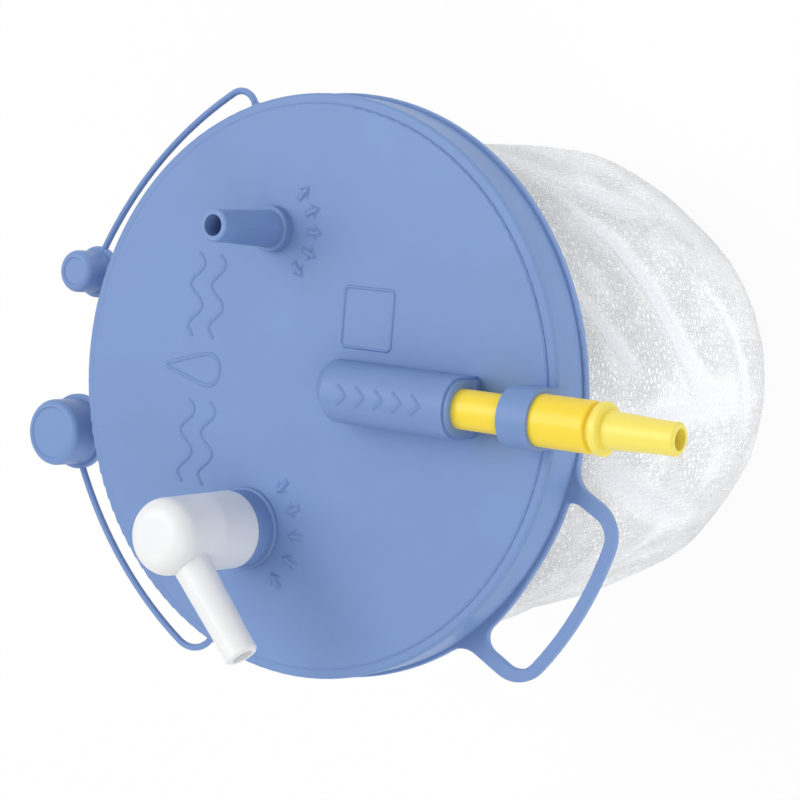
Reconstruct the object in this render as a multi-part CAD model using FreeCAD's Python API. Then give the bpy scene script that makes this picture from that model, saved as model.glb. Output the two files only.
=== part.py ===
"""Disposable liner of a suction canister: a moulded lid with its ports, and the film bag under it.

Millimetres, +Z up. The origin is the middle of the flat spot that the bag stands on, below the
lid's axis. The vacuum connector points along +X. Sizes named ..._height are measured up from the
lid's face, and sizes named ..._depth down from it.
"""
import FreeCAD, Part
import math
import os

V = FreeCAD.Vector
UP = V(0, 0, 1)
ALONG = V(1, 0, 0)

# Lid disc, rim and skirt
lid_face_level = 160.0
skirt_radius = 77.0
rim_step_width = 2.7
rim_step_depth = 0.7
skirt_corner_radius = 1.0
flange_overhang = 1.0
flange_depth = 12.6
flange_thickness = 1.8
flange_edge_round = 0.5
lid_wall = 1.8
skirt_wall = 1.9

# Ring under the lid that centres it in the canister's mouth and carries the bag
plug_ring_clearance = 3.7
plug_ring_wall = 1.6
plug_ring_depth = 16.5
rim_seat_depth = 3.15

# Film bag, with the directions and depths of the hollows between its folds
film_wall = 0.5
bag_weld_edge = 0.4
bag_corner_width = 28.0
bag_corner_height = 44.0
bag_weld_width = 2.6
bag_hollow_angles = (92.0, 51.0, 28.0, -30.0, -61.0, 150.0, 240.0)
bag_hollow_levels = (100.0, 30.0, 92.0, 34.0, 50.0, 80.0, 66.0)
bag_hollow_depths = (3.2, 2.8, 1.6, 2.8, 6.2, 3.0, 3.0)
bag_hollow_span = 19.0
bag_hollow_rise = 35.0
bag_ring_points = 30
bag_wall_shares = (0.2, 0.4, 0.6, 0.75, 0.87, 0.95, 1.0)

# Vacuum housing on the lid, and the bridge at the rim
vacuum_axis_height = 8.0
vacuum_axis_offset = 0.9
housing_radius = 7.8
housing_start = 4.0
housing_nose_lean = 0.8
housing_end = 53.8
housing_lip_length = 1.1
housing_lip_radius = 7.1
bridge_radius = 7.5
bridge_length = 8.4
bridge_overhang = 0.7
filter_bay_start = 18.0
filter_inlet_radius = 1.9
filter_inlet_place = 25.0

# Yellow connector
tube_radius = 5.05
tube_bore_radius = 2.65
tube_insertion = 21.0
socket_clearance = 0.05
body_radius = 6.45
body_seat_depth = 3.5
body_length = 14.9
tip_neck_radius = 5.2
tip_neck_length = 1.3
tip_plug_radius = 4.2
tip_plug_length = 8.0
tip_flange_radius = 6.6
tip_flange_thickness = 2.3
tip_root_radius = 4.7
tip_end_radius = 4.1
tip_length = 22.6
tip_land_length = 5.0

# Hydrophobic filter in the housing
filter_radius = 5.0
filter_wall = 1.8
filter_gap = 0.2

# Tandem port
tandem_x = -13.7
tandem_y = 40.5
tandem_height = 25.5
tandem_collar_radius = 6.15
tandem_collar_height = 3.0
tandem_root_radius = 4.95
tandem_tip_radius = 4.3
tandem_land_length = 5.0
tandem_bore_radius = 2.8

# Patient port
patient_x = -15.6
patient_y = -39.7
patient_collar_radius = 11.0
patient_collar_height = 1.2
patient_sleeve_radius = 10.2
patient_sleeve_height = 6.5
spigot_radius = 8.2
spigot_bore_radius = 6.0
spigot_height = 23.5

# White elbow
elbow_mouth_height = 7.0
elbow_top_height = 37.3
elbow_mouth_radius = 10.4
elbow_top_radius = 10.0
elbow_dome_round = 5.0
elbow_roof = 2.2
swivel_clearance = 0.05
spout_height = 29.0
spout_angle = -47.6
spout_reach = 36.9
spout_root_radius = 5.15
spout_end_radius = 4.4
spout_land_length = 5.0
spout_bore_radius = 2.8

# Backflow valve under the patient port
valve_flange_radius = 8.0
valve_flange_thickness = 1.6
valve_throat_radius = 4.6
valve_length = 11.0
valve_lip_thickness = 2.4
valve_lip_opening = 0.5
valve_socket_wall = 1.4
valve_wall = 0.9

# Carrying loop at the rim
loop_angle = -31.5
loop_turn = 3.6
loop_window_depth = 14.3
loop_bar_width = 3.2
loop_window_half_width = 23.0
loop_arm_width = 4.0
loop_outer_corner = 10.0
loop_inner_corner = 5.5
loop_root_corner = 4.0
loop_root_flare = 7.0

# Straps and caps
strap_radius = 0.95
strap_root_reach = 3.5
strap_root_foot = 4.4
strap_root_hollow = 0.7
strap_parting_gap = 0.1
tandem_strap_angle = 114.7
tandem_strap_bend = 5.4
tandem_strap_overbend = 6.3
tandem_cap_angle = 165.0
tandem_cap_stand_off = 12.3
tandem_cap_radius = 6.0
tandem_cap_height = 11.0
patient_strap_angle = -115.1
patient_strap_bend = 8.5
patient_strap_overbend = 6.0
patient_cap_angle = -165.5
patient_cap_stand_off = 15.6
patient_cap_radius = 9.5
patient_cap_height = 12.1
cap_flange_overhang = 1.4
cap_flange_thickness = 1.7
cap_wall = 1.4
cap_top_round = 2.0
cap_dish_depth = 0.4

# Rounding that breaks an edge, and the depth by which joined solids run into each other
edge_round = 0.6
merge = 0.4

lid_face_radius = skirt_radius - rim_step_width
plug_ring_radius = skirt_radius - skirt_wall - plug_ring_clearance
bag_radius = plug_ring_radius - bag_weld_edge
bag_foot_radius = bag_radius - bag_corner_width
flange_radius = skirt_radius + flange_overhang
flange_top = lid_face_level - flange_depth
flange_bottom = flange_top - flange_thickness
strap_level = flange_bottom + flange_thickness / 2
bag_top = lid_face_level - plug_ring_depth
vacuum_level = lid_face_level + vacuum_axis_height
vacuum_fit_radius = tube_radius + socket_clearance
tube_start = housing_end - tube_insertion
bridge_end = skirt_radius + bridge_overhang
bridge_start = bridge_end - bridge_length
body_end = bridge_end + body_length
tip_end = body_end + tip_length
loop_inner_radius = flange_radius + loop_window_depth


def point(x, y, z=0.0):
    return V(x, y, z)


def polar(radius, degrees, z=0.0):
    angle = math.radians(degrees)
    return V(radius * math.cos(angle), radius * math.sin(angle), z)


def flat_distance(first, second):
    return math.hypot(first.x - second.x, first.y - second.y)


def rod(radius, length, start, axis=UP):
    return Part.makeCylinder(radius, length, start, axis)


def block(low, high):
    size = high - low
    return Part.makeBox(size.x, size.y, size.z, low)


def revolved(outline, position, axis=UP):
    """Solid of a closed outline of (radius, height) points, turned about an axis."""
    corners = [point(radius, 0, height) for radius, height in outline]
    wire = Part.makePolygon(corners + [corners[0]])
    solid = Part.Face(wire).revolve(V(0, 0, 0), UP, 360)
    solid.Placement = FreeCAD.Placement(position, FreeCAD.Rotation(UP, axis))
    return solid


def upright_edges_at(solid, places):
    """The vertical edges that stand at one of the given places in plan."""
    found = []
    for edge in solid.Edges:
        first = edge.Vertexes[0].Point
        last = edge.Vertexes[-1].Point
        upright = abs(first.z - last.z) > merge and flat_distance(first, last) < 1e-6
        if upright and min(flat_distance(first, place) for place in places) < merge:
            found.append(edge)
    return found


def level_edges(solid, level, least_width=0.0):
    """The edges that lie in one level plane and are at least so wide."""
    return [edge for edge in solid.Edges
            if abs(edge.BoundBox.ZMax - level) < 1e-4 and abs(edge.BoundBox.ZMin - level) < 1e-4
            and max(edge.BoundBox.XLength, edge.BoundBox.YLength) >= least_width]


def band(inner_radius, outer_radius, half_width):
    """Flat piece in the flange's plane between two arcs about the lid's axis, along +X."""
    start = point(0, 0, flange_bottom)
    piece = rod(outer_radius, flange_thickness, start).cut(rod(inner_radius, flange_thickness, start))
    strip = block(point(0, -half_width, flange_bottom), point(outer_radius, half_width, flange_top))
    return piece.common(strip)


def band_corners(radius, half_width):
    reach = math.sqrt(radius ** 2 - half_width ** 2)
    return [point(reach, -half_width), point(reach, half_width)]


def loop_placement():
    """Turns the loop a little in its own plane at the rim, then round the lid to its place."""
    own_turn = FreeCAD.Placement(V(0, 0, 0), FreeCAD.Rotation(UP, loop_turn), point(flange_radius, 0))
    round_lid = FreeCAD.Placement(V(0, 0, 0), FreeCAD.Rotation(UP, loop_angle))
    return round_lid.multiply(own_turn)


def loop_plate():
    half_width = loop_window_half_width + loop_arm_width
    outer_radius = loop_inner_radius + loop_bar_width
    plate = band(skirt_radius - skirt_wall, outer_radius, half_width)
    corners = upright_edges_at(plate, band_corners(outer_radius, half_width))
    plate = plate.makeFillet(loop_outer_corner, corners)
    plate.Placement = loop_placement()
    return plate


def loop_window():
    half_width = loop_window_half_width
    window = band(flange_radius, loop_inner_radius, half_width)
    far = upright_edges_at(window, band_corners(loop_inner_radius, half_width))
    window = window.makeFillet(loop_inner_corner, far)
    near = upright_edges_at(window, band_corners(flange_radius, half_width))
    window = window.makeFillet(loop_root_corner, near)
    window.Placement = loop_placement()
    return window.cut(rod(flange_radius, flange_thickness, point(0, 0, flange_bottom)))


def strap_gusset(angle):
    """Flat web that narrows in two hollow curves from the flange's rim to the strap's root."""
    rim_reach = math.sqrt(flange_radius ** 2 - strap_root_foot ** 2) - merge / 4
    tip_reach = flange_radius + strap_root_reach - strap_parting_gap
    side = []
    for hand in (-1, 1):
        foot = point(rim_reach, hand * strap_root_foot, flange_bottom)
        tip = point(tip_reach, hand * strap_radius, flange_bottom)
        hollow = (foot + tip) * 0.5 - point(strap_root_hollow, hand * strap_root_hollow, 0)
        side.append((foot, hollow, tip))
    back = [point(skirt_radius - 1, hand * strap_root_foot, flange_bottom) for hand in (-1, 1)]
    edges = [Part.LineSegment(back[0], side[0][0]), Part.Arc(*side[0]),
             Part.LineSegment(side[0][2], side[1][2]), Part.Arc(*reversed(side[1])),
             Part.LineSegment(side[1][0], back[1]), Part.LineSegment(back[1], back[0])]
    outline = Part.Wire([edge.toShape() for edge in edges])
    web = Part.Face(outline).extrude(point(0, 0, flange_thickness))
    crest = [edge for edge in level_edges(web, flange_top) if edge.Curve.TypeId == "Part::GeomCircle"]
    web = web.makeFillet(flange_edge_round, crest)
    web.rotate(V(0, 0, 0), UP, angle)
    return web


def rim_plate():
    """Flange with the carrying loop and the strap roots, in one flat piece with rounded edges."""
    loop = loop_plate()
    plate = rod(flange_radius, flange_thickness, point(0, 0, flange_bottom)).fuse(loop).removeSplitter()
    sides = [vertex.Point for vertex in plate.Vertexes
             if abs(math.hypot(vertex.X, vertex.Y) - flange_radius) < 1e-4
             and loop.distToShape(Part.Vertex(vertex.Point))[0] < 1e-4]
    plate = plate.makeFillet(loop_root_flare, upright_edges_at(plate, sides)).cut(loop_window())
    plate = plate.makeFillet(flange_edge_round, level_edges(plate, flange_top))
    gussets = [strap_gusset(angle) for angle in (tandem_strap_angle, patient_strap_angle)]
    hole = rod(skirt_radius - skirt_wall, flange_thickness, point(0, 0, flange_bottom))
    return plate.fuse(gussets).cut(hole)


def lid_shell():
    """Disc with its stepped rim, the skirt round it and the plug ring under it."""
    face = lid_face_level
    ledge = face - rim_step_depth
    inner_skirt = skirt_radius - skirt_wall
    inner_ring = plug_ring_radius - plug_ring_wall
    shell = revolved([(0, face - lid_wall), (inner_ring, face - lid_wall), (inner_ring, bag_top),
                      (plug_ring_radius, bag_top), (plug_ring_radius, face - rim_seat_depth),
                      (inner_skirt, face - rim_seat_depth), (inner_skirt, flange_bottom),
                      (skirt_radius, flange_bottom), (skirt_radius, ledge),
                      (lid_face_radius, ledge), (lid_face_radius, face), (0, face)], V(0, 0, 0))
    shell = shell.makeFillet(skirt_corner_radius, level_edges(shell, ledge, 2 * skirt_radius - merge))
    return shell.makeFillet(edge_round, level_edges(shell, face, 2 * lid_face_radius - merge))


def on_axis(along, level=vacuum_level):
    """Point in the upright plane of the vacuum axis."""
    return point(along, vacuum_axis_offset, level)


def arch(start, end, radius, foot_level):
    """Half-round ridge along the vacuum axis with upright sides down to its foot."""
    side = point(0, radius)
    ridge = rod(radius, end - start, on_axis(start), ALONG)
    sides = block(on_axis(start, foot_level) - side, on_axis(end) + side)
    above_foot = block(on_axis(start, foot_level) - side, on_axis(end, vacuum_level + radius) + side)
    return ridge.fuse(sides).common(above_foot)


def leaning_nose(foot_level):
    """Round-ended column that leans along +X as it rises, to shape the housing's closed end."""
    height = vacuum_level + housing_radius - foot_level + 1
    lean = point(housing_nose_lean * height, 0, height)
    centre = on_axis(housing_start + housing_radius, foot_level)
    nose = Part.Face(Part.Wire(Part.Circle(centre, UP, housing_radius).toShape())).extrude(lean)
    tail_side = point(0, housing_radius, 0)
    tail_end = on_axis(housing_end, foot_level)
    corners = [centre - tail_side, tail_end - tail_side, tail_end + tail_side, centre + tail_side]
    tail = Part.Face(Part.makePolygon(corners + [corners[0]])).extrude(lean)
    return nose.fuse(tail)


def vacuum_housing():
    """Inverted trough with a leaning round end and a stepped lip round its mouth."""
    foot = lid_face_level - merge
    body = arch(housing_start, housing_end, housing_radius, foot).common(leaning_nose(foot))
    lip = arch(housing_end, housing_end + housing_lip_length, housing_lip_radius, foot)
    return body.fuse(lip).removeSplitter()


def vacuum_bridge():
    return arch(bridge_start, bridge_end, bridge_radius, lid_face_level - rim_step_depth - merge)


def vacuum_passage():
    """Everything bored along the vacuum axis: filter bay, tube socket and bridge."""
    mouth = housing_end + housing_lip_length
    bay = rod(vacuum_fit_radius, mouth - filter_bay_start, on_axis(filter_bay_start), ALONG)
    through = rod(vacuum_fit_radius, bridge_length, on_axis(bridge_start), ALONG)
    seat_start = on_axis(bridge_end - body_seat_depth)
    seat = rod(body_radius + socket_clearance, body_seat_depth, seat_start, ALONG)
    inlet = rod(filter_inlet_radius, vacuum_level - bag_top, on_axis(filter_inlet_place, bag_top))
    return bay.fuse([through, seat, inlet])


def tandem_port():
    """Tapered hose stub on a round collar."""
    collar = tandem_collar_radius
    stub = revolved([(0, -merge), (collar, -merge), (collar, tandem_collar_height),
                     (tandem_root_radius, tandem_collar_height),
                     (tandem_tip_radius, tandem_height - tandem_land_length),
                     (tandem_tip_radius, tandem_height), (0, tandem_height)],
                    point(tandem_x, tandem_y, lid_face_level))
    collar_rim = level_edges(stub, lid_face_level + tandem_collar_height, 2 * collar - merge)
    return stub.makeFillet(edge_round, collar_rim + level_edges(stub, lid_face_level + tandem_height))


def patient_port():
    """Collar, sleeve and the spigot that the elbow turns on, and the valve's socket below."""
    at = point(patient_x, patient_y, lid_face_level)
    collar = patient_collar_radius
    sleeve = patient_sleeve_radius
    port = revolved([(0, -merge), (collar, -merge), (collar, patient_collar_height),
                     (sleeve, patient_collar_height), (sleeve, patient_sleeve_height),
                     (spigot_radius, patient_sleeve_height), (spigot_radius, spigot_height),
                     (0, spigot_height)], at)
    collar_rim = level_edges(port, lid_face_level + patient_collar_height, 2 * collar - merge)
    sleeve_rim = level_edges(port, lid_face_level + patient_sleeve_height, 2 * sleeve - merge)
    port = port.makeFillet(edge_round, collar_rim + sleeve_rim)
    socket_depth = lid_wall + valve_flange_thickness
    socket = rod(valve_flange_radius + valve_socket_wall, socket_depth, at - point(0, 0, socket_depth))
    return port.fuse(socket)


def lid():
    shell = lid_shell()
    for piece in (rim_plate(), vacuum_housing(), vacuum_bridge(), tandem_port(), patient_port()):
        shell = shell.fuse(piece)
    under_tandem = point(tandem_x, tandem_y, bag_top)
    under_patient = point(patient_x, patient_y, bag_top)
    shell = shell.cut(vacuum_passage())
    shell = shell.cut(rod(tandem_bore_radius, tandem_height + plug_ring_depth, under_tandem))
    shell = shell.cut(rod(spigot_bore_radius, spigot_height + plug_ring_depth, under_patient))
    valve_socket = rod(valve_flange_radius, lid_face_level - lid_wall - bag_top, under_patient)
    return shell.cut(valve_socket).removeSplitter()


def bag_ring(radius, level):
    """Closed curve round the bag at one level, drawn in where the film hollows between folds."""
    fullness = 1 - (2 * level / bag_top - 1) ** 4
    hollows = list(zip(bag_hollow_angles, bag_hollow_levels, bag_hollow_depths))
    points = []
    for step in range(bag_ring_points):
        angle = 360 * step / bag_ring_points
        reach = radius
        for hollow_angle, hollow_level, depth in hollows:
            across = ((angle - hollow_angle + 180) % 360 - 180) / bag_hollow_span
            up = (level - hollow_level) / bag_hollow_rise
            reach -= depth * fullness * math.exp(-across ** 2 - up ** 2)
        points.append(polar(reach, angle, level))
    curve = Part.BSplineCurve()
    curve.interpolate(Points=points, PeriodicFlag=True)
    return Part.Wire(curve.toShape())


def bag_skin(inset):
    """Closed body of the bag, shrunk by the inset: flat foot, elliptical corner and tall wall."""
    corner_reach = bag_radius - bag_foot_radius - inset
    corner_drop = bag_corner_height - inset
    rings = []
    for degrees in (0, 18, 36, 54, 72, 90):
        angle = math.radians(degrees)
        radius = bag_foot_radius + corner_reach * math.sin(angle)
        rings.append(bag_ring(radius, bag_corner_height - corner_drop * math.cos(angle)))
    for share in bag_wall_shares:
        rings.append(bag_ring(bag_radius - inset, bag_corner_height + (bag_top - bag_corner_height) * share))
    return Part.makeLoft(rings, True)


def liner_bag():
    """Open-topped film bag with a flat weld seam that lies against the plug ring's foot."""
    bag = bag_skin(0.0).cut(bag_skin(film_wall))
    seam_start = point(0, 0, bag_top - film_wall)
    seam = rod(bag_radius - film_wall / 2, film_wall, seam_start)
    seam = seam.cut(rod(bag_radius - bag_weld_width, film_wall, seam_start))
    return bag.fuse(seam).removeSplitter()


def patient_elbow():
    """Domed barrel, open below, with a tapered spout that leaves it square."""
    at = point(patient_x, patient_y, lid_face_level)
    top_level = lid_face_level + elbow_top_height
    barrel = revolved([(0, elbow_mouth_height), (elbow_mouth_radius, elbow_mouth_height),
                       (elbow_top_radius, elbow_top_height), (0, elbow_top_height)], at)
    barrel = barrel.makeFillet(elbow_dome_round, level_edges(barrel, top_level))
    barrel = barrel.makeFillet(edge_round, level_edges(barrel, lid_face_level + elbow_mouth_height))
    spout_start = at + point(0, 0, spout_height)
    spout = revolved([(0, 0), (spout_root_radius, 0),
                      (spout_end_radius, spout_reach - spout_land_length),
                      (spout_end_radius, spout_reach - edge_round),
                      (spout_end_radius - edge_round, spout_reach),
                      (0, spout_reach)], spout_start, polar(1, spout_angle))
    cavity_length = elbow_top_height - elbow_roof - elbow_mouth_height
    cavity = rod(spigot_radius + swivel_clearance, cavity_length, at + point(0, 0, elbow_mouth_height))
    cavity = cavity.makeFillet(elbow_roof, level_edges(cavity, top_level - elbow_roof))
    bore = rod(spout_bore_radius, spout_reach, spout_start, polar(1, spout_angle))
    return barrel.fuse(spout).cut(cavity).cut(bore).removeSplitter()


def vacuum_connector():
    """Tube into the housing with a thicker body outside the bridge, bored right through."""
    shoulder = bridge_end - body_seat_depth + socket_clearance
    tube = rod(tube_radius, shoulder - tube_start, on_axis(tube_start), ALONG)
    body = rod(body_radius, body_end - shoulder, on_axis(shoulder), ALONG)
    far_rim = [edge for edge in body.Edges if abs(edge.BoundBox.XMin - body_end) < 1e-4]
    body = body.makeFillet(edge_round, far_rim)
    bore = rod(tube_bore_radius, body_end - tube_start, on_axis(tube_start), ALONG)
    socket_start = on_axis(body_end - tip_plug_length)
    socket = rod(tip_plug_radius, tip_plug_length, socket_start, ALONG)
    return tube.fuse(body).cut(bore).cut(socket).removeSplitter()


def connector_tip():
    """Hose tip: plug into the body, neck, round flange and a tapered spigot."""
    start = body_end - tip_plug_length
    flange_start = body_end + tip_neck_length
    flange_end = flange_start + tip_flange_thickness
    tip = revolved([(0, start), (tip_plug_radius, start), (tip_plug_radius, body_end),
                    (tip_neck_radius, body_end), (tip_neck_radius, flange_start),
                    (tip_flange_radius, flange_start), (tip_flange_radius, flange_end),
                    (tip_root_radius, flange_end), (tip_end_radius, tip_end - tip_land_length),
                    (tip_end_radius, tip_end - edge_round), (tip_end_radius - edge_round, tip_end),
                    (0, tip_end)], on_axis(0), ALONG)
    rims = [edge for edge in tip.Edges if edge.BoundBox.XLength < 1e-4
            and edge.BoundBox.YLength > 2 * tip_flange_radius - merge]
    tip = tip.makeFillet(edge_round, rims)
    return tip.cut(rod(tube_bore_radius, tip_end - start, on_axis(start), ALONG))


def vacuum_filter():
    """Porous thimble, closed at its inner end, that stands against the connector's tube."""
    start = filter_bay_start + filter_gap
    thimble = rod(filter_radius, tube_start - start, on_axis(start), ALONG)
    hollow_start = on_axis(start + filter_wall)
    hollow = rod(filter_radius - filter_wall, tube_start - start - filter_wall, hollow_start, ALONG)
    return thimble.cut(hollow)


def duckbill(radius, lip_thickness, depth):
    """Body that turns from a circle at its top to a flat round-ended lip at its foot."""
    lip = lip_thickness / 2
    half = radius - lip
    circle = Part.Wire(Part.Circle(V(0, 0, 0), UP, radius).toShape())
    right = Part.Arc(point(half, -lip, -depth), point(half + lip, 0, -depth), point(half, lip, -depth))
    left = Part.Arc(point(-half, lip, -depth), point(-half - lip, 0, -depth), point(-half, -lip, -depth))
    back = Part.LineSegment(point(half, lip, -depth), point(-half, lip, -depth))
    front = Part.LineSegment(point(-half, -lip, -depth), point(half, -lip, -depth))
    slot = Part.Wire([front.toShape(), right.toShape(), back.toShape(), left.toShape()])
    return Part.makeLoft([circle, slot], True)


def backflow_valve():
    """Rubber duckbill whose flange fills the socket under the patient port."""
    flange = rod(valve_flange_radius, valve_flange_thickness, V(0, 0, 0))
    throat = rod(valve_throat_radius - valve_wall, valve_flange_thickness, V(0, 0, 0))
    outside = duckbill(valve_throat_radius, valve_lip_thickness, valve_length)
    inside = duckbill(valve_throat_radius - valve_wall, valve_lip_opening, valve_length)
    valve = flange.fuse(outside).cut(throat).cut(inside)
    seat_level = lid_face_level - lid_wall - valve_flange_thickness
    valve.translate(point(patient_x, patient_y, seat_level))
    return valve


def strap_wire(root_angle, side, bend_radius, overbend, finish):
    """Centre line of a strap: a bend out of its root, then one long arc to the cap's edge."""
    outward = polar(1, root_angle)
    sideways = polar(1, root_angle + 90 * side)
    start = polar(flange_radius + strap_root_reach, root_angle, strap_level)
    bend_centre = start + sideways * bend_radius

    def on_bend(degrees):
        angle = math.radians(degrees)
        return bend_centre + (outward * math.sin(angle) - sideways * math.cos(angle)) * bend_radius

    turn = 90 + overbend
    bend_end = on_bend(turn)
    inward = bend_centre - bend_end
    inward.normalize()
    chord = finish - bend_end
    long_radius = chord.dot(chord) / (2 * chord.dot(inward))
    long_centre = bend_end + inward * long_radius
    half_way = (bend_end + finish) * 0.5 - long_centre
    half_way.normalize()
    bend = Part.Arc(start, on_bend(turn / 2), bend_end).toShape()
    sweep = Part.Arc(bend_end, long_centre + half_way * long_radius, finish).toShape()
    return Part.Wire([bend, sweep])


def strap_solid(root_angle, side, bend_radius, overbend, cap_centre, cap_radius):
    cap_angle = math.degrees(math.atan2(cap_centre.y, cap_centre.x))
    finish = cap_centre + polar(cap_radius, cap_angle - 90 * side)
    path = strap_wire(root_angle, side, bend_radius, overbend, finish)
    start = polar(flange_radius + strap_root_reach, root_angle, strap_level)
    ring = Part.Wire(Part.Circle(start, polar(1, root_angle), strap_radius).toShape())
    return path.makePipeShell([ring], True, False)


def cap(centre, radius, height):
    """Cap with a thin flange round its open foot and a shallow dish in its closed end."""
    rim = radius + cap_flange_overhang
    shape = revolved([(0, 0), (rim, 0), (rim, cap_flange_thickness), (radius, cap_flange_thickness),
                      (radius, height), (0, height)], centre)
    shape = shape.makeFillet(cap_top_round, level_edges(shape, centre.z + height))
    shape = shape.makeFillet(edge_round, level_edges(shape, centre.z + cap_flange_thickness, 2 * rim - merge))
    dish_radius = radius - cap_top_round
    dish = revolved([(0, 0), (dish_radius - cap_dish_depth, 0), (dish_radius, cap_dish_depth),
                     (0, cap_dish_depth)], centre + point(0, 0, height - cap_dish_depth))
    return shape.cut(dish)


def cap_on_strap(root_angle, side, bend_radius, overbend, cap_angle, cap_reach, radius, height):
    """Hollow cap, closed above and open below, with its strap."""
    foot = polar(cap_reach, cap_angle, flange_bottom)
    middle = polar(cap_reach, cap_angle, strap_level)
    tether = strap_solid(root_angle, side, bend_radius, overbend, middle, radius)
    hollow = rod(radius - cap_wall, height - cap_wall - cap_dish_depth, foot)
    return cap(foot, radius, height).fuse(tether).cut(hollow).removeSplitter()


def tandem_cap():
    return cap_on_strap(tandem_strap_angle, 1, tandem_strap_bend, tandem_strap_overbend,
                        tandem_cap_angle, flange_radius + tandem_cap_stand_off,
                        tandem_cap_radius, tandem_cap_height)


def patient_cap():
    return cap_on_strap(patient_strap_angle, -1, patient_strap_bend, patient_strap_overbend,
                        patient_cap_angle, flange_radius + patient_cap_stand_off,
                        patient_cap_radius, patient_cap_height)


def main():
    os.makedirs("parts", exist_ok=True)
    pieces = (lid, liner_bag, patient_elbow, vacuum_connector, connector_tip,
              vacuum_filter, backflow_valve, tandem_cap, patient_cap)
    for make in pieces:
        shape = make()
        shape.exportStep("parts/" + make.__name__ + ".step")
        print(make.__name__, "solids", len(shape.Solids), "volume", round(shape.Volume, 1))


main()
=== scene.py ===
"""Dresses the liner of a suction canister: moulded plastics, film bag, raised marks and a stage.

Metres, +Z up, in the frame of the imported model. The vacuum connector points along +X, and the bag
stands on its foot at level 0. An angle round the lid is measured from +X towards +Y.
"""

import math
from collections import namedtuple

import bpy
import numpy as np
from bpy.props import FloatProperty, FloatVectorProperty, IntProperty, PointerProperty
from bpy.types import Operator, Panel, PropertyGroup
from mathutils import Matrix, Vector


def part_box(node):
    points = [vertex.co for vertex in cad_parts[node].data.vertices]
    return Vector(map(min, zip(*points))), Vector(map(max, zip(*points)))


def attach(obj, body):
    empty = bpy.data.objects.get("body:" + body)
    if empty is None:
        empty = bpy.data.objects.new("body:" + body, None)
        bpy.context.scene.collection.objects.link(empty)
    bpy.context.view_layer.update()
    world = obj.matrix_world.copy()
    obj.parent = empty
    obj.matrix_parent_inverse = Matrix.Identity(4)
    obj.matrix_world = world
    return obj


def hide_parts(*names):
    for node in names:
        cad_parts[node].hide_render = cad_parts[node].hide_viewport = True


bl_info = {
    "name": "Suction Canister Liner",
    "version": (1, 0, 0),
    "blender": (4, 5, 0),
    "location": "3D View > Sidebar > Liner",
    "description": "Dresses the packed suction canister liner and sets its stage",
    "category": "Object",
}

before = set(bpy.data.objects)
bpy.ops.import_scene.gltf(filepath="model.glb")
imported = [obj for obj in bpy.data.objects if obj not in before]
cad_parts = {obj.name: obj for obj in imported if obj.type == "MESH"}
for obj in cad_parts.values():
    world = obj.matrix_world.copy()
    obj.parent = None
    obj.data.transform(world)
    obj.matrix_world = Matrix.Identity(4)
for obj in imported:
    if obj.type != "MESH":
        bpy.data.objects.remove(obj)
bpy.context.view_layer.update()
BAG_LOW, BAG_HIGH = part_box("liner_bag")

TURN = 2 * math.pi
MM = 0.001

# Axis and radius of the vacuum housing's half-round top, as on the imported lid
VACUUM_OFFSET = 0.9 * MM
VACUUM_LEVEL = 168 * MM
HOUSING_RADIUS = 7.8 * MM

# Rings down the bag and points round each
ROWS = 150
COLUMNS = 300

# Gap between the bag and the lid's ring, and how far the middle of the foot stands up
WELD_GAP = 0.1 * MM
FOOT_RISE = 1.5 * MM

# A hollow between the bag's folds, drawn in towards the axis: its direction in degrees, and its
# level and depth in millimetres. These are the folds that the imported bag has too.
Hollow = namedtuple("Hollow", "angle level depth")
HOLLOWS = (Hollow(92, 100, 3.2), Hollow(51, 30, 2.8), Hollow(28, 92, 1.6), Hollow(-30, 34, 2.8),
           Hollow(-61, 50, 6.2), Hollow(150, 80, 3.0), Hollow(240, 66, 3.0))
HOLLOW_SPAN = math.radians(19)
HOLLOW_RISE = 35 * MM

# A crease pressed into the wall along a path of (angle in degrees, level in millimetres) places
Crease = namedtuple("Crease", "path width depth")
LOBE_EDGE_BELOW = Crease(path=((42, 118), (35, 92), (10, 77), (7, 46)), width=8.0, depth=1.7)
LOBE_EDGE_ABOVE = Crease(path=((26, 131), (17, 120), (7, 105)), width=6.0, depth=1.3)
BAND_EDGE = Crease(path=((-3, 122), (0, 70), (3, 26)), width=7.0, depth=0.9)
SHOULDER_FOLD = Crease(path=((70, 128), (56, 96), (52, 58)), width=9.0, depth=1.3)
SIDE_FOLD = Crease(path=((-10, 126), (-22, 84), (-31, 44)), width=8.0, depth=1.1)
LOW_FOLD = Crease(path=((-52, 122), (-48, 84), (-40, 40)), width=9.0, depth=1.0)
CORNER_FOLD = Crease(path=((30, 62), (16, 46), (-8, 40)), width=6.0, depth=1.0)
BACK_FOLD = Crease(path=((118, 126), (140, 80), (132, 44)), width=9.0, depth=1.5)
FAR_FOLD = Crease(path=((205, 128), (190, 84), (204, 40)), width=9.0, depth=1.5)
HIDDEN_FOLD = Crease(path=((275, 124), (262, 88), (270, 46)), width=9.0, depth=1.3)
CREASES = (LOBE_EDGE_BELOW, LOBE_EDGE_ABOVE, BAND_EDGE, SHOULDER_FOLD, SIDE_FOLD, LOW_FOLD,
           CORNER_FOLD, BACK_FOLD, FAR_FOLD, HIDDEN_FOLD)


def colour(name, text, default):
    return FloatVectorProperty(name=name, description=text, default=default, size=3,
                               min=0.0, max=1.0, subtype="COLOR")


def length(name, text, default):
    return FloatProperty(name=name, description=text, default=default, min=0.0,
                         precision=5, subtype="DISTANCE", unit="LENGTH")


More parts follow.
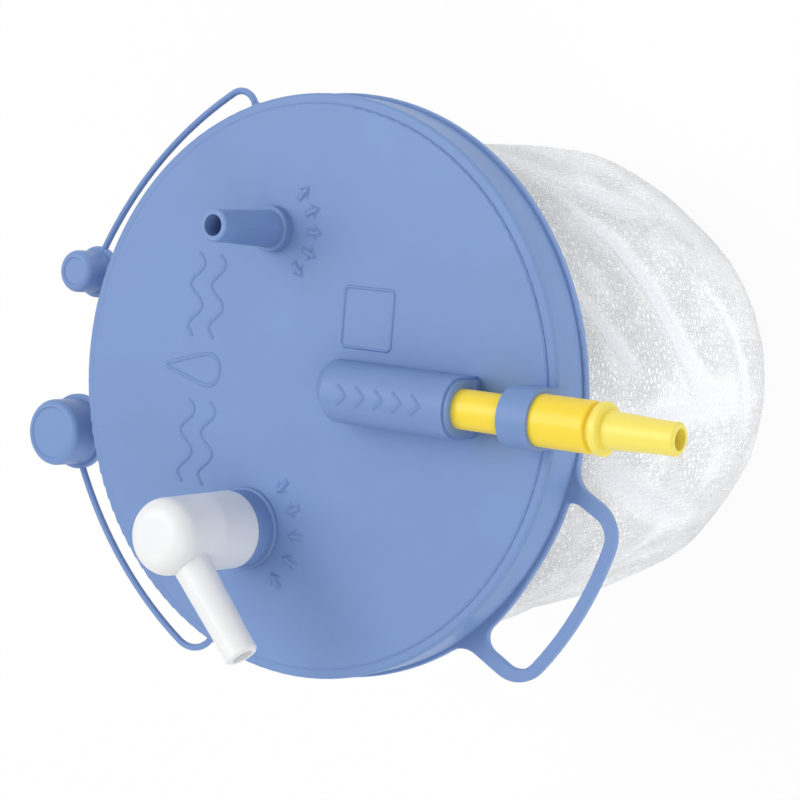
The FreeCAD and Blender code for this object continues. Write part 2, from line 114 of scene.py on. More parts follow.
class PlasticSettings(PropertyGroup):
    """Colours and gloss of the moulded pieces."""
    lid_colour: colour("Lid", "Blue of the lid, the carrying loop and the caps", (0.187, 0.305, 0.575))
    lid_shade: colour("Lid shade", "Deeper blue of the moulding's flow clouds", (0.186, 0.288, 0.552))
    elbow_colour: colour("Elbow", "White of the patient elbow", (0.89, 0.892, 0.895))
    elbow_shade: colour("Elbow shade", "Cooler white in the elbow's flow clouds", (0.87, 0.876, 0.888))
    connector_colour: colour("Connector", "Deep yellow of the connector's body", (0.96, 0.73, 0.06))
    connector_shade: colour("Connector shade", "Deeper yellow in its flow clouds", (0.95, 0.70, 0.05))
    tip_colour: colour("Tip", "Light yellow of the hose tip", (0.95, 0.81, 0.15))
    tip_shade: colour("Tip shade", "Deeper yellow in the tip's flow clouds", (0.94, 0.79, 0.13))
    filter_colour: colour("Filter", "Off-white of the porous filter", (0.80, 0.80, 0.77))
    filter_shade: colour("Filter shade", "Grey between the filter's grains", (0.62, 0.62, 0.60))
    valve_colour: colour("Valve", "Grey rubber of the backflow valve", (0.30, 0.31, 0.33))
    valve_shade: colour("Valve shade", "Darker bloom of the rubber", (0.24, 0.25, 0.27))
    cloud_size: length("Cloud size", "Size of the flow clouds in the moulding", 0.03)
    grain_size: length("Grain size", "Size of the fine surface grain", 0.0009)


class BagSettings(PropertyGroup):
    """Sizes and finish of the film bag."""
    radius: length("Radius", "Radius of the bag's wall", 0.071)
    foot_radius: length("Foot radius", "Radius of the flat that the bag stands on", 0.043)
    corner_height: length("Corner height", "Level at which the corner runs into the wall", 0.044)
    weld_width: length("Weld width", "Width of the flat seam under the lid's ring", 0.0026)
    film_thickness: length("Film thickness", "Thickness of the bag's film", 0.00035)
    crumple_depth: length("Crumple depth", "Depth of the film's random folds", 0.0006)
    pucker_depth: length("Pucker depth", "Depth of the puckers below the weld", 0.0007)
    pucker_count: IntProperty(name="Puckers", description="Puckers round the weld", default=34, min=0)
    gather_count: IntProperty(name="Gathers", description="Gathers round the foot", default=22, min=0)
    gather_depth: length("Gather depth", "Depth of the gathers round the foot", 0.0005)
    pebble_pitch: length("Pebble pitch", "Distance between the embossed pebbles", 0.0020)
    pebble_height: length("Pebble height", "Height of the embossed pebbles", 0.00065)
    # Film and film shade: the grey is painted shade in the grooves between the pebbles and in the creases,
    # and the whiter pebble tops are a painted highlight
    film_colour: colour("Film", "Frosted film between the folds", (0.975, 0.977, 0.982))
    film_painted_shade: colour("Film shade", "Greyer film where it lies double", (0.70, 0.72, 0.755))


class MarkSettings(PropertyGroup):
    """Sizes of the raised marks on the lid."""
    face_level: length("Face level", "Level of the lid's face", 0.160)
    relief: length("Relief", "Height of a raised line", 0.00048)
    port_relief: length("Port relief", "Height of the arrows beside the ports", 0.0007)
    bold_line: length("Bold line", "Width of a raised line in the middle of the lid", 0.0017)
    fine_line: length("Fine line", "Width of a raised line on the housing and round the plate", 0.0013)


class StageSettings(PropertyGroup):
    """Camera, lamps and floor."""
    camera_place: FloatVectorProperty(name="Camera", description="Where the camera stands",
                                      default=(0.34654, 0.04815, 0.62388), subtype="TRANSLATION")
    camera_turn: FloatVectorProperty(name="Camera turn", description="How the camera is turned",
                                     default=[math.radians(a) for a in (-1.675, 34.498, 5.693)],
                                     subtype="EULER", unit="ROTATION")
    focal_length: FloatProperty(name="Focal length", description="Focal length in millimetres",
                                default=99.41, min=1.0)
    key_power: FloatProperty(name="Key lamp", description="Power of the soft lamp at the upper left",
                             default=13.5, min=0.0, unit="POWER")
    fill_power: FloatProperty(name="Fill lamp", description="Power of each low, narrow lamp beside the bag",
                              default=0.185, min=0.0, unit="POWER")
    front_power: FloatProperty(name="Front lamp", description="Power of the soft lamp over the connector",
                               default=4.0, min=0.0, unit="POWER")
    sky_level: FloatProperty(name="Sky", description="Level of the even light from all round",
                             default=0.60, min=0.0)
    floor_side: length("Floor side", "Side of the square floor", 6.0)
    floor_colour: colour("Floor", "Colour of the floor", (0.90, 0.90, 0.90))
    floor_glow: FloatProperty(name="Floor glow", description="Share of plain white in the floor as seen",
                              default=0.92, min=0.0, max=1.0, subtype="FACTOR")


# Materials

class Finish:
    """A material under construction, with short calls for the nodes it is made of."""

    def __init__(self, name):
        self.material = bpy.data.materials.new(name)
        self.material.use_nodes = True
        self.tree = self.material.node_tree
        self.shader = self.tree.nodes["Principled BSDF"]
        self.place = self.node("ShaderNodeTexCoord").outputs["Object"]

    def node(self, kind, **settings):
        made = self.tree.nodes.new(kind)
        for key, value in settings.items():
            setattr(made, key, value)
        return made

    def link(self, source, target):
        self.tree.links.new(source, target)

    def fed(self, kind, feeds, **settings):
        """A node whose inputs are numbers, colours or other nodes' outputs."""
        made = self.node(kind, **settings)
        for key, value in feeds.items():
            if isinstance(value, bpy.types.NodeSocket):
                self.link(value, made.inputs[key])
            else:
                made.inputs[key].default_value = value
        return made

    def noise(self, size, detail):
        """Noise whose clouds are about the given size."""
        feeds = {"Vector": self.place, "Scale": 1 / size, "Detail": detail}
        return self.fed("ShaderNodeTexNoise", feeds).outputs["Fac"]

    def spread(self, value, low, high, start=0.3, end=0.7):
        """The value between start and end, stretched to low and high."""
        feeds = {"Value": value, "From Min": start, "From Max": end, "To Min": low, "To Max": high}
        return self.fed("ShaderNodeMapRange", feeds).outputs["Result"]

    def product(self, first, second):
        return self.fed("ShaderNodeMath", {0: first, 1: second}, operation="MULTIPLY").outputs[0]

    def larger(self, first, second):
        return self.fed("ShaderNodeMath", {0: first, 1: second}, operation="MAXIMUM").outputs[0]

    def blended(self, share, first, second):
        made = self.node("ShaderNodeMix", data_type="RGBA")
        self.link(share, made.inputs["Factor"])
        made.inputs[6].default_value = (*first, 1.0)
        made.inputs[7].default_value = (*second, 1.0)
        return made.outputs[2]

    def bump(self, height, depth, strength, under=None):
        feeds = {"Height": height, "Distance": depth, "Strength": strength}
        if under:
            feeds["Normal"] = under
        return self.fed("ShaderNodeBump", feeds).outputs["Normal"]

    def feed_shader(self, **sources):
        """Links outputs to the shader's sockets, whose names are written with _ for a space."""
        for name, source in sources.items():
            self.link(source, self.shader.inputs[name.replace("_", " ")])

    def set_shader(self, **values):
        for name, value in values.items():
            self.shader.inputs[name.replace("_", " ")].default_value = value

    def show_mix(self, share, other):
        """Makes the shader, mixed with a share of another one, the material's surface."""
        both = self.fed("ShaderNodeMixShader", {0: share, 1: self.shader.outputs[0], 2: other.outputs[0]})
        self.link(both.outputs[0], self.tree.nodes["Material Output"].inputs["Surface"])


def moulded(name, main, shade, settings, roughness, grain_depth, shine=0.42, soft=0.0):
    """Moulded plastic: slow flow clouds in the colour, uneven gloss and a fine grain."""
    finish = Finish(name)
    clouds = finish.noise(settings.cloud_size, detail=3.0)
    grain = finish.noise(settings.grain_size, detail=1.0)
    finish.feed_shader(Base_Color=finish.blended(finish.spread(clouds, 0.0, 1.0), main, shade),
                       Roughness=finish.spread(clouds, roughness - 0.04, roughness + 0.05),
                       Normal=finish.bump(grain, grain_depth, 1.0))
    finish.set_shader(Specular_IOR_Level=shine)
    if soft:
        finish.set_shader(Subsurface_Weight=soft, Subsurface_Radius=(1.0, 1.0, 1.0), Subsurface_Scale=0.004)
    return finish.material


def pebble_height(finish, pitch):
    """Height of the embossing: flat-topped pebbles with narrow grooves between them, one pebble in
    each cell of an uneven grid over the film's map."""
    on_film = finish.node("ShaderNodeUVMap", uv_map="film").outputs["UV"]
    feeds = {"Vector": on_film, "Scale": 1 / pitch, "Randomness": 0.85}
    cells = finish.fed("ShaderNodeTexVoronoi", feeds, voronoi_dimensions="2D", feature="DISTANCE_TO_EDGE")
    feeds = {"Value": cells.outputs["Distance"], "From Min": 0.02, "From Max": 0.34}
    return finish.fed("ShaderNodeMapRange", feeds, interpolation_type="SMOOTHSTEP").outputs["Result"]


def bag_film(bag):
    """Frosted, embossed film that lets light through. It is glossier on its pebbles. Its colour is whiter
    on the pebble tops and greyer in the grooves between them, a painted highlight and painted shade for the
    embossing. The pebbles stand high in some patches and low in others, and in the creases they are
    pressed flat and the film is greyed all over with painted shade."""
    finish = Finish("embossed film")
    pebbles = pebble_height(finish, bag.pebble_pitch)
    pressed = finish.node("ShaderNodeAttribute", attribute_name="pressed").outputs["Fac"]
    patches = finish.spread(finish.noise(0.02, detail=3.0), 0.65, 1.0, 0.38, 0.55)
    flattened = finish.spread(pressed, 0.0, 1.0, 0.1, 0.65)
    standing = finish.product(patches, finish.spread(flattened, 1.0, 0.05, 0.0, 1.0))
    # Painted shade: the colour greys in the grooves between the pebbles and in the creases, and the pebble
    # tops stay white as a painted highlight
    grooves = finish.product(finish.spread(pebbles, 0.58, 0.0, 0.0, 1.0), patches)
    painted_shade = finish.larger(grooves, finish.product(flattened, 0.8))
    painted_tint = finish.blended(painted_shade, bag.film_colour, bag.film_painted_shade)
    crinkle = finish.bump(finish.noise(0.005, detail=2.0), 0.0003, 0.5)
    embossing = finish.bump(finish.product(pebbles, standing), bag.pebble_height, 1.0, under=crinkle)
    gloss = finish.spread(pebbles, 0.30, 0.14, 0.0, 1.0)
    finish.feed_shader(Base_Color=painted_tint, Roughness=gloss, Normal=embossing)
    finish.set_shader(Specular_IOR_Level=0.8)
    finish.show_mix(0.35, finish.fed("ShaderNodeBsdfTranslucent", {"Color": painted_tint, "Normal": embossing}))
    return finish.material


# Meshes

def grid_quads(rows, columns, wrap_rows, wrap_columns):
    """Corner numbers of the quads of a grid of points, closed on itself where asked."""
    row = np.arange(rows if wrap_rows else rows - 1)[:, None]
    column = np.arange(columns if wrap_columns else columns - 1)[None, :]
    next_row = (row + 1) % rows
    next_column = (column + 1) % columns
    corners = [row * columns + column, row * columns + next_column,
               next_row * columns + next_column, next_row * columns + column]
    return np.stack(corners, -1).reshape(-1, 4)


def new_object(name, points, faces, material, smooth=True):
    mesh = bpy.data.meshes.new(name)
    mesh.from_pydata(points.reshape(-1, 3), [], [list(face) for face in faces])
    mesh.polygons.foreach_set("use_smooth", np.full(len(mesh.polygons), smooth))
    mesh.materials.append(material)
    made = bpy.data.objects.new(name, mesh)
    bpy.context.scene.collection.objects.link(made)
    return made


def rides_on_lid(piece):
    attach(piece, "liner")


def triangle_wave(phase):
    """Straight ramps up and down between -1 and 1, once a turn."""
    return 4 * np.abs(phase / TURN - np.floor(phase / TURN + 0.5)) - 1


def crumple(angle, run):
    """Random folds of a film: many triangle waves of whole numbers of turns round the bag, each
    running off at its own slant, and each bent by a slow sine so that its folds aren't parallel.
    The first six are wide and deep, the others narrow and shallow."""
    draw = np.random.default_rng(7)
    total = np.zeros(np.broadcast(angle, run).shape)
    for fold in range(14):
        wide = fold < 6
        count = draw.integers(2, 6) if wide else draw.integers(7, 15)
        weight = 1.0 if wide else 0.35
        slant = draw.uniform(-1.0, 1.0) * TURN / (45 * MM if wide else 20 * MM)
        sway = draw.uniform(0.6, 1.6)
        sway_phase = draw.integers(1, 4) * angle + run * TURN / (80 * MM) + draw.uniform(0, TURN)
        phase = count * angle + slant * run + sway * np.sin(sway_phase)
        total += weight * triangle_wave(phase + draw.uniform(0, TURN))
    return total / 3.5


def angle_between(first, second):
    """Difference of two angles, the short way round."""
    return (first - second + math.pi) % TURN - math.pi


def hollow_depth(hollow, angle, level):
    """Wide hollow: a bell in the angle and in the level about its place."""
    across = angle_between(angle, math.radians(hollow.angle)) / HOLLOW_SPAN
    up = (level - hollow.level * MM) / HOLLOW_RISE
    return hollow.depth * MM * np.exp(-across ** 2 - up ** 2)


def smooth_path(places, count=9):
    """A curve through a few places, at even steps: the polynomial that passes through them all."""
    steps = np.linspace(0, 1, len(places))
    factors = np.polyfit(steps, np.array(places, dtype=float), len(places) - 1)
    even = np.linspace(0, 1, count)[:, None]
    return sum(factor * even ** power for power, factor in enumerate(factors[::-1]))


def crease_depth(crease, angle, level, radius):
    """Sharp valley: full depth on the smooth curve through its places, falling to none over its
    width, and shallower towards its two ends."""
    path = smooth_path(crease.path)
    around, up = np.radians(path[:, 0]) * radius, path[:, 1] * MM
    legs = len(path) - 1
    nearest = np.full(np.broadcast(angle, level).shape, 1.0)
    passed = np.zeros_like(nearest)
    for leg in range(legs):
        run = np.array([around[leg + 1] - around[leg], up[leg + 1] - up[leg]])
        across = angle_between(angle, around[leg] / radius) * radius
        above = level - up[leg]
        share = np.clip((across * run[0] + above * run[1]) / (run @ run), 0, 1)
        away = np.hypot(across - share * run[0], above - share * run[1])
        passed = np.where(away < nearest, (leg + share) / legs, passed)
        nearest = np.minimum(away, nearest)
    valley = np.clip(1 - nearest / (crease.width * MM), 0, 1) ** 2
    return crease.depth * MM * valley * np.clip(5 * passed * (1 - passed), 0.1, 1)


def bag_profile(bag):
    """Radius and level down the bag's section, evenly spaced by length: the weld's flat, the upright
    wall, a quarter ellipse and the foot. The last two are the outward direction of the section."""
    top = BAG_HIGH.z - WELD_GAP
    quarter = np.linspace(0, math.pi / 2, 60)
    corner = bag.foot_radius + (bag.radius - bag.foot_radius) * np.cos(quarter)
    foot = np.linspace(bag.foot_radius, 0, 20)[1:]
    radius = np.concatenate([[bag.radius - bag.weld_width, bag.radius], corner, foot])
    level = np.concatenate([[top, top], bag.corner_height * (1 - np.sin(quarter)), 0 * foot])
    run = np.concatenate([[0], np.cumsum(np.hypot(np.diff(radius), np.diff(level)))])
    even = np.linspace(0, run[-1], ROWS)
    radius, level = np.interp(even, run, radius), np.interp(even, run, level)
    outward, upward = -np.gradient(level, even), np.gradient(radius, even)
    size = np.hypot(outward, upward)
    return even, radius, level, outward / size, upward / size


def pucker_depth(bag, angle, run):
    """Puckers that are deepest a little below the weld and die away down the wall."""
    below_weld = np.clip((run - bag.weld_width) / (9 * MM), 0, None)
    strength = np.minimum(below_weld, 1) * np.exp(-below_weld)
    return bag.pucker_depth * strength * triangle_wave(bag.pucker_count * angle + 2 * np.sin(3 * angle))


def gather_depth(bag, angle, radius, level):
    """Gathers round the edge of the foot, deeper on some sides than on others."""
    near_edge = np.exp(-((radius - bag.foot_radius) / (16 * MM)) ** 2) * (level < bag.corner_height)
    uneven = 0.6 + 0.4 * np.sin(3 * angle + 1) * np.cos(2 * angle)
    wave = triangle_wave(bag.gather_count * angle + 2 * np.sin(2 * angle))
    return bag.gather_depth * near_edge * uneven * (1 + wave)


class LINER_OT_film_bag(Operator):
    """Builds the embossed film bag that hangs under the lid"""
    bl_idname = "liner.film_bag"
    bl_label = "Film Bag"

    def execute(self, context):
        bag = context.scene.liner_bag
        section = bag_profile(bag)
        angle = np.arange(COLUMNS)[None, :] * TURN / COLUMNS
        points, creased = self.shell_points(bag, section, angle)
        made = new_object("film_bag", points, self.shell_faces(), bag_film(bag))
        self.add_film_map(made, TURN * bag.radius / COLUMNS, section[0])
        # Share of crease depth at each point: it flattens the pebbles in the creases and greys the film
        # there with painted shade
        pressed = made.data.attributes.new("pressed", "FLOAT", "POINT")
        share = np.sqrt(creased / creased.max())[:-1].reshape(-1)
        pressed.data.foreach_set("value", np.append(share, 0).astype(np.float32))
        wall = made.modifiers.new("film", "SOLIDIFY")
        wall.thickness = bag.film_thickness
        wall.offset = -1.0
        rides_on_lid(made)
        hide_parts("liner_bag")
        return {"FINISHED"}

    @staticmethod
    def shell_points(bag, section, angle):
        """The bag's wall is its round section, turned about the lid's axis and drawn in by the wide
        hollows. Each point then moves square to the section by the random folds, the creases, the
        puckers under the weld and the gathers at the foot. The weld itself stays round, and the
        last ring is one point, the pole. Returned with the depth of the creases."""
        run, radius, level, outward, upward = (values[:, None] for values in section)
        fullness = 1 - (2 * level / BAG_HIGH.z - 1) ** 4
        drawn_in = sum(hollow_depth(hollow, angle, level) for hollow in HOLLOWS) * fullness
        from_weld = np.clip((run - bag.weld_width) / (18 * MM), 0, 1)
        on_foot = np.clip(1 - radius / bag.foot_radius, 0, 1)
        creased = sum(crease_depth(crease, angle, level, bag.radius) for crease in CREASES) * from_weld
        depth = bag.crumple_depth * crumple(angle, run) * from_weld * (1 - on_foot) + creased
        depth = depth + pucker_depth(bag, angle, run) + gather_depth(bag, angle, radius, level)
        depth = depth + FOOT_RISE * on_foot ** 2
        reach = radius - drawn_in - depth * outward
        height = np.clip(level - depth * upward, 0, None)
        points = np.stack([reach * np.cos(angle), reach * np.sin(angle), height], -1)
        pole = [[0, 0, height[-1].mean()]]
        return np.concatenate([points[:-1].reshape(-1, 3), pole]), creased

    @staticmethod
    def shell_faces():
        """Quads from ring to ring, then a fan of triangles from the last ring to the pole."""
        quads = grid_quads(ROWS - 1, COLUMNS, False, True)[:, ::-1]
        ring = (ROWS - 2) * COLUMNS + np.arange(COLUMNS)
        pole = np.full(COLUMNS, (ROWS - 1) * COLUMNS)
        fan = np.stack([pole, np.roll(ring, -1), ring], -1)
        return quads.tolist() + fan.tolist()

    @staticmethod
    def add_film_map(made, step, run):
        """Map of the unrolled film in metres: across is the way round, down is the length along the
        section. The last column's faces run on past the full turn, so nothing is squeezed there."""
        column = np.tile(np.arange(COLUMNS), ROWS - 2)
        row = np.repeat(np.arange(ROWS - 2), COLUMNS)
        across = np.stack([column, column + 1, column + 1, column], -1) * step
        down = np.stack([run[row + 1], run[row + 1], run[row], run[row]], -1)
        column = np.arange(COLUMNS)
        fan_across = np.stack([column + 0.5, column + 1, column], -1) * step
        fan_down = np.broadcast_to([run[-1], run[-2], run[-2]], (COLUMNS, 3))
        places = np.stack([np.append(across, fan_across), np.append(down, fan_down)], -1)
        film = made.data.uv_layers.new(name="film")
        film.data.foreach_set("uv", places.astype(np.float32).reshape(-1))


# Raised marks

# Where they stand on the lid's face, in millimetres from its axis
TANDEM_PORT = (-13.7, 40.5)
PATIENT_PORT = (-15.6, -39.7)
DROPLET_PLACE = (-34.5, 1.0)
WAVE_PLACES = {"upper_left": (-38.6, 21.0), "upper_right": (-31.4, 21.0),
               "lower_left": (-38.6, -19.0), "lower_right": (-31.4, -19.0)}
PLATE_PLACE = (18.9, 19.8)
FIRST_CHEVRON = 23.5
CHEVRON_STEP = 5.6


def flat_on_lid(marks):
    """Places a flat drawing of (x, y, height) on the lid's face."""
    return lambda drawing: drawing + np.array([0, 0, marks.face_level])


def round_housing(drawing):
    """Wraps a flat drawing round the vacuum housing: y becomes the way round its half-round top."""
    lean = drawing[..., 1] / HOUSING_RADIUS
    reach = HOUSING_RADIUS + drawing[..., 2]
    across = VACUUM_OFFSET + reach * np.sin(lean)
    return np.stack([drawing[..., 0], across, VACUUM_LEVEL + reach * np.cos(lean)], -1)


def unit(steps):
    """Flat steps brought to length one."""
    return steps / np.linalg.norm(steps, axis=1)[:, None]


def leftwards(path, closed):
    """At each point of a flat path, the direction square to it and to its left, lengthened in a bend
    so that a line carried along the path keeps its width."""
    ahead = np.roll(path, -1, 0) - path
    behind = path - np.roll(path, 1, 0)
    if not closed:
        ahead[-1], behind[0] = behind[-1], ahead[0]
    ahead = unit(ahead)
    heading = unit(ahead + unit(behind))
    mitre = 1 / np.clip((heading * ahead).sum(1), 0.4, 1)
    return np.stack([-heading[:, 1], heading[:, 0]], -1) * mitre[:, None]


def raised_line(name, path, width, relief, place, closed=False):
    """Low ridge carried along a flat path: its section is one hump of a cosine, with its foot sunk a
    little below the surface. An open path's ends are rounded off and closed."""
    share = np.linspace(-1, 1, 9)
    passed = np.concatenate([[0], np.cumsum(np.linalg.norm(np.diff(path, axis=0), axis=1))])
    from_end = np.clip(np.minimum(passed, passed[-1] - passed) / (width / 2), 0.02, 1)
    fullness = np.ones(len(path)) if closed else np.sqrt(from_end * (2 - from_end))
    across = fullness[:, None] * share[None, :] * width / 2
    height = relief * (1.2 * fullness[:, None] * np.cos(share * math.pi / 2) ** 2 - 0.2)
    flat = path[:, None, :] + leftwards(path, closed)[:, None, :] * across[:, :, None]
    drawing = np.concatenate([flat, height[:, :, None]], -1)
    faces = grid_quads(len(path), len(share), closed, True)[:, ::-1].tolist()
    if not closed:
        last = (len(path) - 1) * len(share)
        faces += [list(range(len(share))), list(range(last, last + len(share)))[::-1]]
    return new_object(name, place(drawing), faces, bpy.data.materials["lid blue"])


def raised_shape(name, outline, edge, relief, place):
    """Low flat shape with sloping sides. Its outline stands below the surface and at it, and is drawn
    in by the edge's width at the crest: each corner moves along the sum of its two sides' inward
    directions."""
    ahead = unit(np.roll(outline, -1, 0) - outline)
    inward = np.stack([-ahead[:, 1], ahead[:, 0]], -1)
    before = np.roll(inward, 1, 0)
    corner_reach = edge / (1 + (inward * before).sum(1))
    crest = outline + (inward + before) * corner_reach[:, None]
    rings = [np.column_stack([ring, np.full(len(ring), height)])
             for ring, height in ((outline, -0.6 * relief), (outline, 0.0), (crest, relief))]
    count = len(outline)
    faces = grid_quads(3, count, False, True).tolist()
    faces += [list(range(2 * count, 3 * count)), list(range(count))[::-1]]
    return new_object(name, place(np.stack(rings)), faces, bpy.data.materials["lid blue"], smooth=False)


def turned(points, degrees, place):
    """Flat points turned about the origin, then moved to a place in millimetres."""
    angle = math.radians(degrees)
    turn = np.array([[math.cos(angle), -math.sin(angle)], [math.sin(angle), math.cos(angle)]])
    return points @ turn.T + np.array(place) * MM


def droplet(size, count=72):
    """Closed droplet: a circle drawn out to a point along +X, by (1 + cos) to the third power, and
    made narrower towards that point."""
    angle = np.arange(count) * TURN / count
    lean = 0.5 * (1 + np.cos(angle))
    along = 0.62 * np.cos(angle) + 0.75 * lean ** 3
    across = 0.62 * np.sin(angle) * (1 - 0.72 * lean)
    return np.stack([along, across], -1) * size


def rounded_plate(width, height, corner, count=8):
    """Closed outline of a rectangle with round corners."""
    quarter = np.linspace(0, math.pi / 2, count)
    parts = []
    for step, (side, up) in enumerate([(1, 1), (-1, 1), (-1, -1), (1, -1)]):
        middle = np.array([side * (width / 2 - corner), up * (height / 2 - corner)])
        turn = quarter + step * math.pi / 2
        parts.append(middle + corner * np.stack([np.cos(turn), np.sin(turn)], -1))
    return np.concatenate(parts)


def ripple(span, rise, waves, count=60):
    """Wavy line along +X: a sine of so many waves over its span."""
    share = np.linspace(-0.5, 0.5, count)
    return np.stack([share * span, rise * np.sin(share * TURN * waves)], -1)


def arrow(size):
    """Closed outline of an arrow that points along +X, with its corners in order to the left."""
    return np.array([[-0.5, -0.18], [0.0, -0.18], [-0.1, -0.45], [0.5, 0.0], [-0.1, 0.45],
                     [0.0, 0.18], [-0.5, 0.18]]) * size


def arrow_head(size):
    """Open chevron that points along +X, its tip rounded: one half of a hyperbola."""
    side = np.linspace(-0.5, 0.5, 25)
    return np.stack([0.35 - np.sqrt(side ** 2 + 0.0036) * 1.3, side], -1) * size


class LINER_OT_raised_marks(Operator):
    """Raises plain signs on the lid: flow arrows by the ports, a droplet with waves and a bare plate"""
    bl_idname = "liner.raised_marks"
    bl_label = "Raised Marks"

    def execute(self, context):
        marks = context.scene.liner_marks
        pieces = self.port_arrows(marks, "tandem", TANDEM_PORT, reach=13.6, way=0)
        pieces += self.port_arrows(marks, "patient", PATIENT_PORT, reach=16.8, way=180)
        pieces += self.middle_signs(marks)
        for step in range(5):
            chevron = turned(arrow_head(5.2 * MM), 0, (FIRST_CHEVRON + CHEVRON_STEP * step, 0))
            name = f"vacuum_flow_{step + 1}"
            pieces.append(raised_line(name, chevron, marks.fine_line, marks.relief, round_housing))
        for piece in pieces:
            rides_on_lid(piece)
        return {"FINISHED"}

    @staticmethod
    def port_arrows(marks, port, centre, reach, way):
        """Five arrows on an arc about a port. They point out from it, or in at it where way is 180."""
        pieces = []
        for step, degrees in enumerate(np.linspace(-48, 48, 5)):
            spoke = np.array([math.cos(math.radians(degrees)), math.sin(math.radians(degrees))])
            outline = turned(arrow(5.3 * MM), degrees + way, np.array(centre) + reach * spoke)
            pieces.append(raised_shape(f"{port}_flow_{step + 1}", outline, marks.fine_line / 2,
                                       marks.port_relief, flat_on_lid(marks)))
        return pieces

    @staticmethod
    def middle_signs(marks):
        """A droplet between two pairs of waves, and the outline of a plate with nothing on it."""
        on_lid = flat_on_lid(marks)
        bold, relief = marks.bold_line, marks.relief
        drop = turned(droplet(9.5 * MM), 180, DROPLET_PLACE)
        pieces = [raised_line("fluid_droplet", drop, bold, relief, on_lid, closed=True)]
        for name, place in WAVE_PLACES.items():
            wave = turned(ripple(23 * MM, 2.2 * MM, 2), 90, place)
            pieces.append(raised_line(f"fluid_wave_{name}", wave, bold, relief, on_lid))
        plate = turned(rounded_plate(15.5 * MM, 15.5 * MM, 1.2 * MM), 0, PLATE_PLACE)
        pieces.append(raised_line("bare_plate_edge", plate, marks.fine_line, relief, on_lid, closed=True))
        return pieces


class LINER_OT_plastics(Operator):
    """Gives every moulded piece its plastic, rubber or porous finish"""
    bl_idname = "liner.plastics"
    bl_label = "Moulded Plastics"

    def execute(self, context):
        own = context.scene.liner_plastics
        blue = moulded("lid blue", own.lid_colour, own.lid_shade, own, 0.42, 0.00003, shine=0.26)
        white = moulded("elbow white", own.elbow_colour, own.elbow_shade, own, 0.30, 0.000012, soft=0.35)
        deep = moulded("connector yellow", own.connector_colour, own.connector_shade, own, 0.33, 0.000015)
        light = moulded("tip yellow", own.tip_colour, own.tip_shade, own, 0.33, 0.000015)
        porous = moulded("porous filter", own.filter_colour, own.filter_shade, own, 0.85, 0.0003)
        rubber = moulded("valve rubber", own.valve_colour, own.valve_shade, own, 0.6, 0.00005)
        worn = {"lid": blue, "tandem_cap": blue, "patient_cap": blue, "patient_elbow": white,
                "vacuum_connector": deep, "connector_tip": light, "vacuum_filter": porous,
                "backflow_valve": rubber}
        for node, material in worn.items():
            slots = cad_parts[node].data.materials
            slots.clear()
            slots.append(material)
        return {"FINISHED"}


# Stage

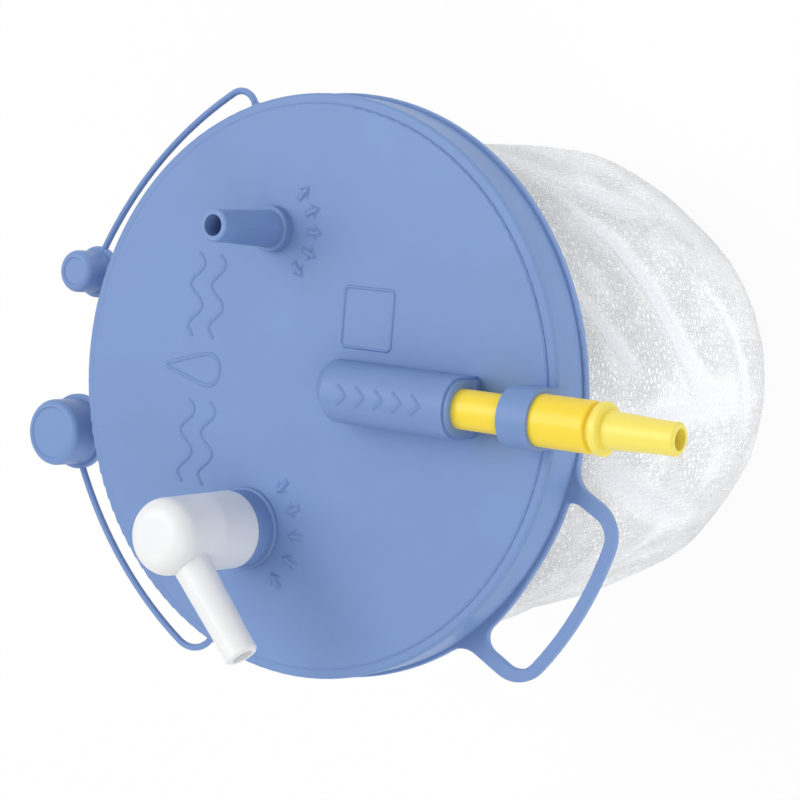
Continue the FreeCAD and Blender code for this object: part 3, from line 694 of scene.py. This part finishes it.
class LINER_OT_stage(Operator):
    """Sets the camera, the lamps, the sky and the floor"""
    bl_idname = "liner.stage"
    bl_label = "Studio Stage"

    def execute(self, context):
        stage = context.scene.liner_stage
        context.scene.view_settings.view_transform = "Standard"
        self.camera(context, stage)
        self.sky(context, stage)
        lid = (0, 0, 0.12)
        bag = (0, 0, 0.05)
        self.lamp(context, "key_lamp", stage.key_power, (-0.80, 0.35, 1.60), lid, (1.2, 1.2), 180)
        self.lamp(context, "front_lamp", stage.front_power, (0.90, -0.45, 1.15), lid, (1.0, 1.0), 180)
        self.lamp(context, "bag_lamp_upper", stage.fill_power, (0.70, 0.80, 0.05), bag, (0.50, 0.10), 14)
        self.lamp(context, "bag_lamp_lower", stage.fill_power, (0.70, -0.80, 0.05), bag, (0.50, 0.10), 14)
        self.floor(stage)
        return {"FINISHED"}

    @staticmethod
    def camera(context, stage):
        view = bpy.data.objects.new("camera", bpy.data.cameras.new("camera"))
        context.scene.collection.objects.link(view)
        view.location = stage.camera_place
        view.rotation_euler = stage.camera_turn
        view.data.lens = stage.focal_length
        view.data.sensor_width = 36.0
        view.data.clip_start, view.data.clip_end = 0.01, 20.0
        context.scene.camera = view

    @staticmethod
    def lamp(context, name, power, place, aim, sides, beam):
        """Soft lamp with two sides, that faces its aim and opens to a beam of so many degrees."""
        light = bpy.data.lights.new(name, "AREA")
        light.shape = "RECTANGLE"
        light.energy, light.spread = power, math.radians(beam)
        light.size, light.size_y = sides
        made = bpy.data.objects.new(name, light)
        context.scene.collection.objects.link(made)
        made.location = place
        made.rotation_euler = (Vector(aim) - made.location).to_track_quat("-Z", "Y").to_euler()

    @staticmethod
    def sky(context, stage):
        """Even light from all round, which the camera sees as white, also through a clear piece."""
        world = bpy.data.worlds.new("sky")
        world.use_nodes = True
        context.scene.world = world
        tree = world.node_tree
        path = tree.nodes.new("ShaderNodeLightPath")
        seen = tree.nodes.new("ShaderNodeMath")
        seen.operation = "MAXIMUM"
        tree.links.new(path.outputs["Is Camera Ray"], seen.inputs[0])
        tree.links.new(path.outputs["Is Transmission Ray"], seen.inputs[1])
        level = tree.nodes.new("ShaderNodeMapRange")
        level.inputs["To Min"].default_value = stage.sky_level
        level.inputs["To Max"].default_value = 1.0
        tree.links.new(seen.outputs[0], level.inputs["Value"])
        tree.links.new(level.outputs["Result"], tree.nodes["Background"].inputs["Strength"])
        tree.nodes["Background"].inputs["Color"].default_value = (1, 1, 1, 1)

    @staticmethod
    def floor(stage):
        """Pale floor that the camera sees nearly white, with the object's shadow kept on it."""
        finish = Finish("floor")
        finish.set_shader(Base_Color=(*stage.floor_colour, 1.0), Roughness=0.9)
        path = finish.node("ShaderNodeLightPath")
        share = finish.product(path.outputs["Is Camera Ray"], stage.floor_glow)
        finish.show_mix(share, finish.fed("ShaderNodeEmission", {"Color": (1, 1, 1, 1), "Strength": 1.0}))
        half = stage.floor_side / 2
        corners = np.array([[-half, -half, 0], [half, -half, 0], [half, half, 0], [-half, half, 0]])
        made = new_object("floor", corners - np.array([0, 0, 0.1 * MM]), [[0, 1, 2, 3]], finish.material)


class LINER_PT_sidebar(Panel):
    """Lists the steps that dress the liner"""
    bl_label = "Suction Canister Liner"
    bl_idname = "LINER_PT_sidebar"
    bl_space_type = "VIEW_3D"
    bl_region_type = "UI"
    bl_category = "Liner"

    def draw(self, context):
        for operator in OPERATORS:
            self.layout.operator(operator.bl_idname)
        for group in SETTINGS:
            own = getattr(context.scene, group)
            box = self.layout.box()
            for key in own.__annotations__:
                box.prop(own, key)


OPERATORS = (LINER_OT_plastics, LINER_OT_film_bag, LINER_OT_raised_marks, LINER_OT_stage)
SETTINGS = {"liner_plastics": PlasticSettings, "liner_bag": BagSettings,
            "liner_marks": MarkSettings, "liner_stage": StageSettings}
CLASSES = (*SETTINGS.values(), *OPERATORS, LINER_PT_sidebar)


def register():
    for made in CLASSES:
        bpy.utils.register_class(made)
    for key, group in SETTINGS.items():
        setattr(bpy.types.Scene, key, PointerProperty(type=group))


def unregister():
    for key in SETTINGS:
        delattr(bpy.types.Scene, key)
    for made in reversed(CLASSES):
        bpy.utils.unregister_class(made)


def main():
    register()
    bpy.ops.liner.plastics()
    bpy.ops.liner.film_bag()
    bpy.ops.liner.raised_marks()
    bpy.ops.liner.stage()
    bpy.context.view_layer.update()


if __name__ == "__main__":
    main()
